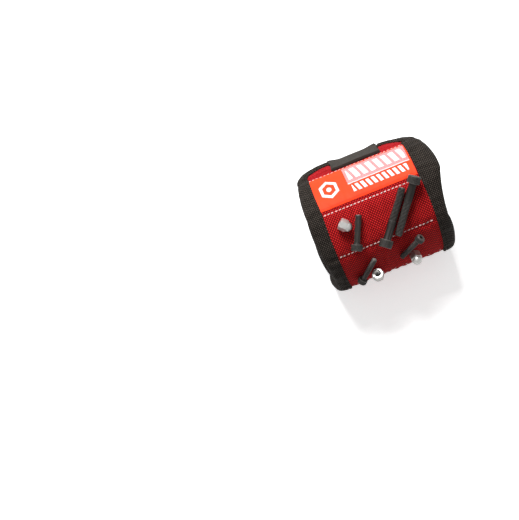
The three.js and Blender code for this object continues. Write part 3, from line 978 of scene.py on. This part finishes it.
def build_tail_binding():
    size = TAIL_SIZE
    (elbow, hand), (elbow_wide, hand_wide) = seam_widths(5, 5)
    far, near = size["length"], 1.0
    corners = [(-hand, far), (-size["narrow"], near), (size["narrow"], near), (elbow, far)]
    around = end_rings(6, corners, size, (hand_wide, elbow_wide))
    down = band_rings(5, -1, upwards=False)[:-1]
    up = band_rings(5, 1, upwards=True)[1:]
    build_tube("tail_edge_binding", down + around + up, ["tail_binding"], 5)


# ---- Flap and tail panels ----


def panel_sheet(name, number, shares, half_at, top_at, under_at):
    """A slab whose half width changes with the share up its row."""
    across = np.linspace(-1, 1, 90)
    tops, unders, coords = [], [], []
    for share in shares:
        x = across * half_at(share)
        tops.append(place_on(number, x, share, top_at(x, share)))
        unders.append(place_on(number, x, share, under_at(x, share)))
        coords.append(fabric_uv(x, share * ROWS[number].length))
    return slab(name, np.array(tops), np.array(unders), np.array(coords), sharp=60)


def build_flap_panel():
    size = FLAP_SIZE
    inset = size["edge"] - 0.5

    def half_at(share):
        reach = max(0.0, share * size["length"] - (size["length"] - size["corner"]))
        radius = size["corner"] - inset
        curve = math.sqrt(max(0.0, radius**2 - min(reach, radius) ** 2))
        return size["half"] - size["corner"] + curve

    def top_at(x, share):
        crown = 0.4 * np.sin(math.pi * np.clip(share, 0, 1)) * (1 - (x / 48) ** 2)
        tucked = 0.9 * smoothstep(0.62, 0.8, share) + 0.9 * smoothstep(-6, -2, np.abs(x) - half_at(share))
        return SEAM_HEIGHT + crown - tucked + 0.16 * ripple(x, share * 13, 5, 2.1)

    shares = np.linspace(0, (size["length"] - inset - 0.2) / size["length"], 40)
    panel = panel_sheet("flap_pile_panel", 0, shares, half_at, top_at, lambda x, s: top_at(x, s) - 1.9)
    blend_over_seam(dress(panel, "red_loop_pile", "flap_loop_panel"), 0)


def build_tail_panel():
    size = TAIL_SIZE
    taper = size["wide"] - size["narrow"]

    def half_at(share):
        return size["narrow"] - 1.5 + taper * share

    def height_at(low, high):
        return lambda x, share: mix(low, high, smoothstep(0.45, 1.0, share)) + 0 * x

    shares = np.linspace(0.2, 1, 24)
    panel = panel_sheet("tail_weave_panel", 6, shares, half_at, height_at(-1.35, 0.5), height_at(-2.4, -0.4))
    blend_over_seam(dress(panel, "red_weave", "tail_panel"), 5)


# ---- Hook strap ----


def strap_corners():
    """The strap's middle line in the ring's plane, from where it is sewn on to the end of its tip."""
    root = TAIL_ROW.place(0, TAIL_ROW.length - 0.6, 0)[1:] / MM
    turn_up = hinge_point("open_strap_upper")
    outwards = FLAP_ROW.out * STRAP["bulge"]
    tip_end = FLAP_ROW.place(0, 0.4, STRAP["tip_lift"])[1:] / MM
    return [root, hinge_point("open_strap_lower"), turn_up + outwards, tip_end]


def ribbon_outline(half, thick):
    """The strap's section, counterclockwise, with rounded edges and a slightly crowned face."""
    across = np.linspace(-half, half, 41)
    edge = 1 - (1 - np.clip((half - np.abs(across)) / (thick * 0.5), 0, 1)) ** 2
    high = thick / 2 * np.sqrt(np.clip(edge, 0.02, 1))
    upper = np.stack([across[::-1], high[::-1]], axis=-1)
    lower = np.stack([across, -high], axis=-1)
    return np.concatenate([lower, upper])


def ribbon(name, path, travelled, turn_at):
    outline = ribbon_outline(STRAP["half"], STRAP["thick"])
    near_edge = smoothstep(0.45, 1.0, np.abs(outline[:, 0]) / STRAP["half"])
    curl = np.where(outline[:, 0] < 0, STRAP_CURL[-1], STRAP_CURL[1]) * near_edge
    rings, coords = [], []
    for (point, direction), so_far in zip(path, travelled):
        out = np.array([direction[1], -direction[0]])
        wave = 0.12 * ripple(outline[:, 0], so_far, 3, 16.0)
        height = outline[:, 1] + wave + curl * math.exp(-(((so_far - turn_at) / 11) ** 2))
        x = STRAP["middle"] + outline[:, 0]
        rings.append(np.stack([x, point[0] + out[0] * height, point[1] + out[1] * height], axis=-1) * MM)
        coords.append(fabric_uv(outline[:, 0], so_far))
    return loft(name, [np.array(rings)], np.array(coords), sharp=60)


def build_strap():
    """Three pieces, each round one hinge and cut half way to the next."""
    corners = strap_corners()
    path = outline_stations(corners, [14.0, 9.0], 0.7)
    travelled = distances(path)
    points = np.array([point for point, _ in path])

    def nearest(target):
        return int(np.argmin(np.linalg.norm(points - target, axis=1)))

    peel = hinge_point("peel_strap_tip")
    cuts = [0, nearest((corners[1] + corners[2]) / 2), nearest((corners[2] + peel) / 2), len(path) - 1]
    lower, upper = unit(corners[2] - corners[1]), unit(peel - corners[2])
    bends = [
        ("strap_root_to_lower", ["strap_root", "strap_lower"], corners[1],
         ("tail", TAIL_ROW.along), ("strap_lower", lower), 4.0),
        ("strap_lower_to_upper", ["strap_upper"], corners[2],
         ("strap_lower", -lower), ("strap_upper", upper), 4.5),
        ("strap_upper_to_tip", ["strap_tip"], peel, ("strap_upper", -upper), ("strap_tip", upper), 2.5),
    ]
    turn_at = travelled[nearest(corners[2])]
    for (name, nodes, *bend), a, b in zip(bends, cuts, cuts[1:]):
        piece = ribbon(name, path[a:b + 1], travelled[a:b + 1], turn_at)
        blend_over(dress(piece, "grey_strap", *nodes), *bend)


def strap_face_at(y):
    """The height of the strap's inner face above the flap's plane, y down the flap."""
    corner = strap_corners()[2]
    offset = corner - FLAP_ROW.low
    share = y / float(offset @ FLAP_ROW.along)
    return mix(STRAP["tip_lift"], float(offset @ FLAP_ROW.out), share) - STRAP["thick"] / 2


def build_hooks(name, node, body, first, last):
    """A hook patch on the strap's inner face, between two distances down the flap."""
    face = strap_face_at((first + last) / 2)
    base = face - HOOK["base"]
    tip = base - HOOK["high"]
    left = STRAP["middle"] - HOOK["half"]
    right = STRAP["middle"] + HOOK["half"]
    sheet_x = np.array([left, right, right, left])
    sheet_y = np.array([first, first, last, last])
    tubes = [np.array([FLAP_ROW.place(sheet_x, sheet_y, n) for n in (face + 0.1, base)])]
    angles = np.arange(5) * 2 * math.pi / 5
    levels = [  # radius, height and how far the stem leans
        (0.17, base + 0.05, 0.0), (0.11, mix(base, tip, 0.6), 0.02),
        (0.15, tip, 0.22), (0.03, tip + 0.22, 0.42),
    ]
    rows = int((last - first - 0.6) / HOOK["pitch"]) + 1
    columns = int((2 * HOOK["half"] - 1) / HOOK["pitch"]) + 1
    for r in range(rows):
        for c in range(columns):
            lean = 1 if (r + c) % 2 else -1
            x = left + 0.5 + c * HOOK["pitch"]
            y = first + 0.4 + r * HOOK["pitch"]
            tubes.append(np.array([
                FLAP_ROW.place(x + radius * np.cos(angles) + lean * shift, y + radius * np.sin(angles), n)
                for radius, n, shift in levels
            ]))
    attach(dress(loft(name, tubes, sharp=40, flip=True), "hook_tape", node), body)


# ---- Stitches ----

# One line of them at each seam.
STITCH_NODES = [
    "stitches_label_top", "stitches_row_1_2", "stitches_row_2_3", "stitches_row_3_4", "stitches_row_4_5",
    "stitches_tail",
]


def stitch_rings(number, share, x, tilt):
    """One stitch: a short two-ply thread that rises out of the fabric and dives back into it."""
    around, rings_count = 10, 9
    angles = np.arange(around) * 2 * math.pi / around
    row = ROWS[number]
    rings = []
    for t in np.linspace(-1, 1, rings_count):
        thin = math.sqrt(max(0.0, 1 - t**4)) * 0.9 + 0.1
        radius = STITCH["radius"] * thin * (1 + 0.14 * np.cos(2 * (angles + 1.5 * t)))
        along = x + t * STITCH["long"] / 2
        lift = float(cover_height(number, np.array(along), share)) + STITCH["lift"] - 0.6 * t**4
        up = row.length * share + t * tilt
        rings.append(row.place(along, up + radius * np.cos(angles), lift + radius * np.sin(angles)))
    return np.array(rings)


def build_stitches():
    count = int(2 * STITCH["half"] / STITCH["pitch"])
    for seam, node in enumerate(STITCH_NODES):
        number = seam + 1 if seam < 2 else seam
        margin = STITCH["margin"] / ROWS[number].length
        share = 1 - margin if seam < 2 else margin
        tubes = []
        for k in range(count):
            x = -STITCH["half"] + (k + 0.5) * STITCH["pitch"] + 0.12 * math.sin(k * 2.1 + seam)
            tilt = 0.16 + 0.06 * math.sin(k * 1.7 + seam)
            tubes.append(stitch_rings(number, share, x, tilt))
        blend_over_seam(dress(loft(f"thread_{node}", tubes), "white_thread", node), seam)


# ---- Fasteners ----

AROUND = 72
ANGLES = np.arange(AROUND) * 2 * math.pi / AROUND
KNURLS = 36
# Thread diameter, socket across its flats, thread pitch, and the share of the shank without a thread.
LONG_SCREW = (6.0, 5.0, 1.0, 0.33)
SHORT_SCREW = (4.0, 3.0, 0.7, 0.0)
SCREWS = {
    "long_screw_left": LONG_SCREW, "long_screw_right": LONG_SCREW, "middle_screw": (5.0, 4.0, 0.8, 0.0),
    "short_screw_left": SHORT_SCREW, "short_screw_right": SHORT_SCREW,
}
CAP_NUTS = ("cap_nut_upper", "cap_nut_lower_left", "cap_nut_lower_right")
NUT = {"across_flats": 8.0, "hex_high": 6.0, "dome": 3.75, "bore": 2.1, "bore_deep": 7.4, "pitch": 0.8}
NUT_BEVEL = [0.02, 0.08, 0.14, 0.2, 0.28, 0.36, 0.5]  # heights of the rings over a chamfered corner
NUT_CHAMFER = math.tan(math.radians(62))


def fastener_frame(node):
    """(matrix, length, widest radius): the matrix's Z runs from the head or mouth to the tip, from its end
    face."""
    mesh = frame["nodes"][node].data
    points = np.array([v.co for v in mesh.vertices]) / MM
    normals = np.array([f.normal for f in mesh.polygons])
    areas = np.array([f.area for f in mesh.polygons])
    centres = np.array([f.center for f in mesh.polygons]) / MM
    centre = (centres * areas[:, None]).sum(0) / areas.sum()
    facing = (normals * areas[:, None]).T @ normals
    axis = np.linalg.eigh(facing)[1][:, 0]
    along = (points - centre) @ axis
    radial = np.linalg.norm(points - centre - along[:, None] * axis, axis=1)
    middle = (along.min() + along.max()) / 2
    if along[radial > 0.85 * radial.max()].mean() > middle:
        axis, along = -axis, -along
    around = np.abs(normals @ axis) < 0.05
    side = normals[around][np.argmax(areas[around])]
    side = unit(side - axis * (side @ axis))
    matrix = np.eye(4)
    matrix[:3] = np.stack([side, np.cross(axis, side), axis, centre + axis * along.min()], axis=-1)
    return matrix, float(np.ptp(along)), float(radial.max())


def hexagon_radius(across_flats):
    """The distance to a hexagon's edge at each angle, with a flat facing angle 0."""
    sixth = math.pi / 3
    return across_flats / 2 / np.cos((ANGLES + sixth / 2) % sixth - sixth / 2)


def thread_radius(major, pitch, z, depth):
    """A screw thread's radius at each angle, at height z."""
    phase = (z / pitch - ANGLES / (2 * math.pi)) % 1
    groove = np.clip(1.25 * np.abs(2 * phase - 1) - 0.1, 0, 1)
    return major - depth * groove


def place_fastener(node, profile, matrix, sharp, slot):
    """Turns (radius, z) pairs about the fastener's axis. A radius is a number or one value for each angle."""
    turned = [(radius * np.cos(ANGLES), radius * np.sin(ANGLES), np.full(AROUND, z)) for radius, z in profile]
    world = np.stack(turned).transpose(0, 2, 1) @ matrix[:3, :3].T + matrix[:3, 3]
    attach(dress(loft(f"{node}_turned", [world * MM], sharp=sharp), slot, node), node)


def build_screw(node, thread, socket, pitch, plain):
    """A socket-head screw. Its head is as high as its thread is wide."""
    matrix, length, head = fastener_frame(node)
    high = thread
    shank = thread / 2
    depth = 0.6 * pitch
    hexagon = hexagon_radius(socket)
    knurl = head - 0.16 * (0.5 + 0.5 * np.cos(ANGLES * KNURLS))
    deep = high * 0.55
    profile = [
        (0.02, deep + 0.5), (hexagon * 0.9, deep), (hexagon, deep - 0.15), (hexagon, 0.3),
        (hexagon + 0.16, 0.0), (head - 0.75, 0.0), (head - 0.45, 0.08), (head - 0.16, 0.45),
        (head - 0.1, 0.7),
        (knurl, 1.0), (knurl, high * 0.4), (knurl, high * 0.6), (knurl, high - 0.9),
        (head - 0.1, high - 0.6), (head - 0.12, high - 0.2), (head - 0.35, high),
        (shank + 0.35, high), (shank + 0.1, high + 0.12), (shank, high + 0.4),
    ]
    start = high + 0.8 + plain * (length - high)
    end = length - pitch * 0.8
    profile.append((shank, start - 0.2))
    for z in np.arange(start, end, pitch / 6):
        fade = min(1.0, (z - start) / pitch)
        profile.append((thread_radius(shank, pitch, z, depth * fade), z))
    profile += [(shank - depth - 0.02, end + 0.1), (shank - depth - 0.35, length), (0.02, length)]
    place_fastener(node, profile, matrix, 42, "black_steel")


def build_cap_nut(node):
    """A cap nut with chamfered corners, a collar and a dome, open and threaded at its mouth."""
    matrix, length, _ = fastener_frame(node)
    bore, deep, high, dome, pitch = (NUT[key] for key in ("bore", "bore_deep", "hex_high", "dome", "pitch"))
    half = NUT["across_flats"] / 2
    hexagon = hexagon_radius(NUT["across_flats"])
    bevelled = [np.minimum(hexagon, half - 0.2 + z * NUT_CHAMFER) for z in NUT_BEVEL]
    profile = [(0.02, deep + 0.9), (bore * 0.9, deep)]
    for z in np.arange(deep - 0.3, 0.7, -pitch / 6):
        profile.append((thread_radius(bore + 0.25, pitch, z, 0.4), z))
    profile += [(bore + 0.1, 0.6), (bore + 0.55, 0.0), (half - 0.25, 0.0)]
    profile += list(zip(bevelled, NUT_BEVEL))
    profile += [(hexagon, high * 0.35), (hexagon, high * 0.65)]
    profile += [(radius, high - z) for radius, z in zip(bevelled[::-1], NUT_BEVEL[::-1])]
    foot = length - dome
    profile += [(dome + 0.12, high), (dome - 0.05, high + 0.12), (dome, foot)]
    for angle in np.linspace(0, math.pi / 2, 16)[1:-1]:
        profile.append((dome * math.cos(angle), foot + dome * math.sin(angle)))
    profile.append((0.05, length))
    place_fastener(node, profile, matrix, 28, "bright_zinc")


# ---- Parts kept from the CAD model: the padding and the magnets inside it ----


def finish_cad_parts():
    for name, obj in frame["nodes"].items():
        slot = "foam" if name.endswith("_pad") else "magnet_nickel" if "magnet" in name else None
        if slot:
            paint_with(obj, slot)


build_covers_and_lining()
build_label()
build_bindings()
build_flap_binding()
build_tail_binding()
build_flap_panel()
build_tail_panel()
build_strap()
build_hooks("hooks_on_tip", "strap_tip_hooks", "strap_tip", *HOOK["tip_patch"])
build_hooks("hooks_on_upper_strap", "strap_upper_hooks", "strap_upper", *HOOK["upper_patch"])
build_stitches()
for screw, sizes in SCREWS.items():
    build_screw(screw, *sizes)
for nut in CAP_NUTS:
    build_cap_nut(nut)
finish_cad_parts()

# ---- Stage ----

FLOOR_HALF = 3.0  # metres
FLOOR_GLOW = 0.5  # seen from the camera only, so that it doesn't light the band
# How bright the white surroundings are to the camera, in reflections and as a light.
WORLD = {"camera": 0.95, "glossy": 0.75, "light": 0.32}
# Name, place in metres, size and power.
LIGHTS = [("key", (0.0, 0.85, 1.0), 0.5, 27), ("fill", (-0.6, -0.2, 1.2), 1.0, 1.5)]
# Degrees, metres, and millimetres for lens and sensor. pan and tilt set the band off the picture's middle.
CAMERA = {
    "azimuth": -22.3, "elevation": 80, "pan": 1.816, "tilt": -0.731,
    "distance": 2.718, "target": (0, 0.00225, 0.073), "lens": 255.0, "sensor": 36.0,
}


def add_object(name, data, place, facing):
    """A light or a camera, facing along the -Z of its rotation."""
    made = bpy.data.objects.new(name, data)
    made.location = place
    made.rotation_mode = "QUATERNION"
    made.rotation_quaternion = facing
    bpy.context.scene.collection.objects.link(made)
    return made


def build_stage():
    span = FLOOR_HALF
    verts = [(-span, -span, 0), (span, -span, 0), (span, span, 0), (-span, span, 0)]
    floor = add_mesh("floor", verts, [(0, 1, 2, 3)])
    floor.location.z = -0.0005
    shader = Shader("floor")
    seen = add_node(shader.tree, "ShaderNodeLightPath", "Is Camera Ray")
    shader.set(Base_Color=shader.noise(0.02).mix((0.90, 0.90, 0.90), (0.93, 0.93, 0.93)), Roughness=0.9)
    shader.set(Emission_Color=(1.0, 1.0, 1.0), Emission_Strength=seen * FLOOR_GLOW)
    floor.data.materials.append(shader.material)


def build_lights():
    middle = Vector((cad_low + cad_high) / 2)
    for name, place, size, power in LIGHTS:
        light = bpy.data.lights.new(name, "AREA")
        light.size = size
        light.energy = power
        add_object(name, light, place, (middle - Vector(place)).to_track_quat("-Z", "Y"))
    world = bpy.data.worlds.new("world")
    world.use_nodes = True
    tree = world.node_tree
    camera = add_node(tree, "ShaderNodeLightPath", "Is Camera Ray")
    glossy = add_node(tree, "ShaderNodeLightPath", "Is Glossy Ray")
    seen = add_node(tree, "ShaderNodeMapRange", Value=camera, To_Min=WORLD["light"], To_Max=WORLD["camera"])
    strength = add_node(tree, "ShaderNodeMapRange", Value=glossy, To_Min=seen, To_Max=WORLD["glossy"])
    feed(tree.nodes["Background"].inputs["Color"], (1.0, 1.0, 1.0))
    feed(tree.nodes["Background"].inputs["Strength"], strength)
    bpy.context.scene.world = world


def build_camera():
    """The photograph's angle: nearly from above, with the object right of the middle and above it."""
    azimuth, elevation, pan, tilt = (math.radians(CAMERA[k]) for k in ("azimuth", "elevation", "pan", "tilt"))
    flat = math.cos(elevation)
    back = Vector((math.sin(azimuth) * flat, -math.cos(azimuth) * flat, math.sin(elevation)))
    facing = (-back).to_track_quat("-Z", "Y").to_matrix().to_4x4()
    turn = Matrix.Rotation(pan, 4, "Y") @ Matrix.Rotation(tilt, 4, "X")
    data = bpy.data.cameras.new("camera")
    data.lens = CAMERA["lens"]
    data.sensor_width = CAMERA["sensor"]
    place = Vector(CAMERA["target"]) + back * CAMERA["distance"]
    bpy.context.scene.camera = add_object("camera", data, place, (facing @ turn).to_quaternion())


build_stage()
build_lights()
build_camera()
bpy.context.scene.view_settings.view_transform = "Standard"
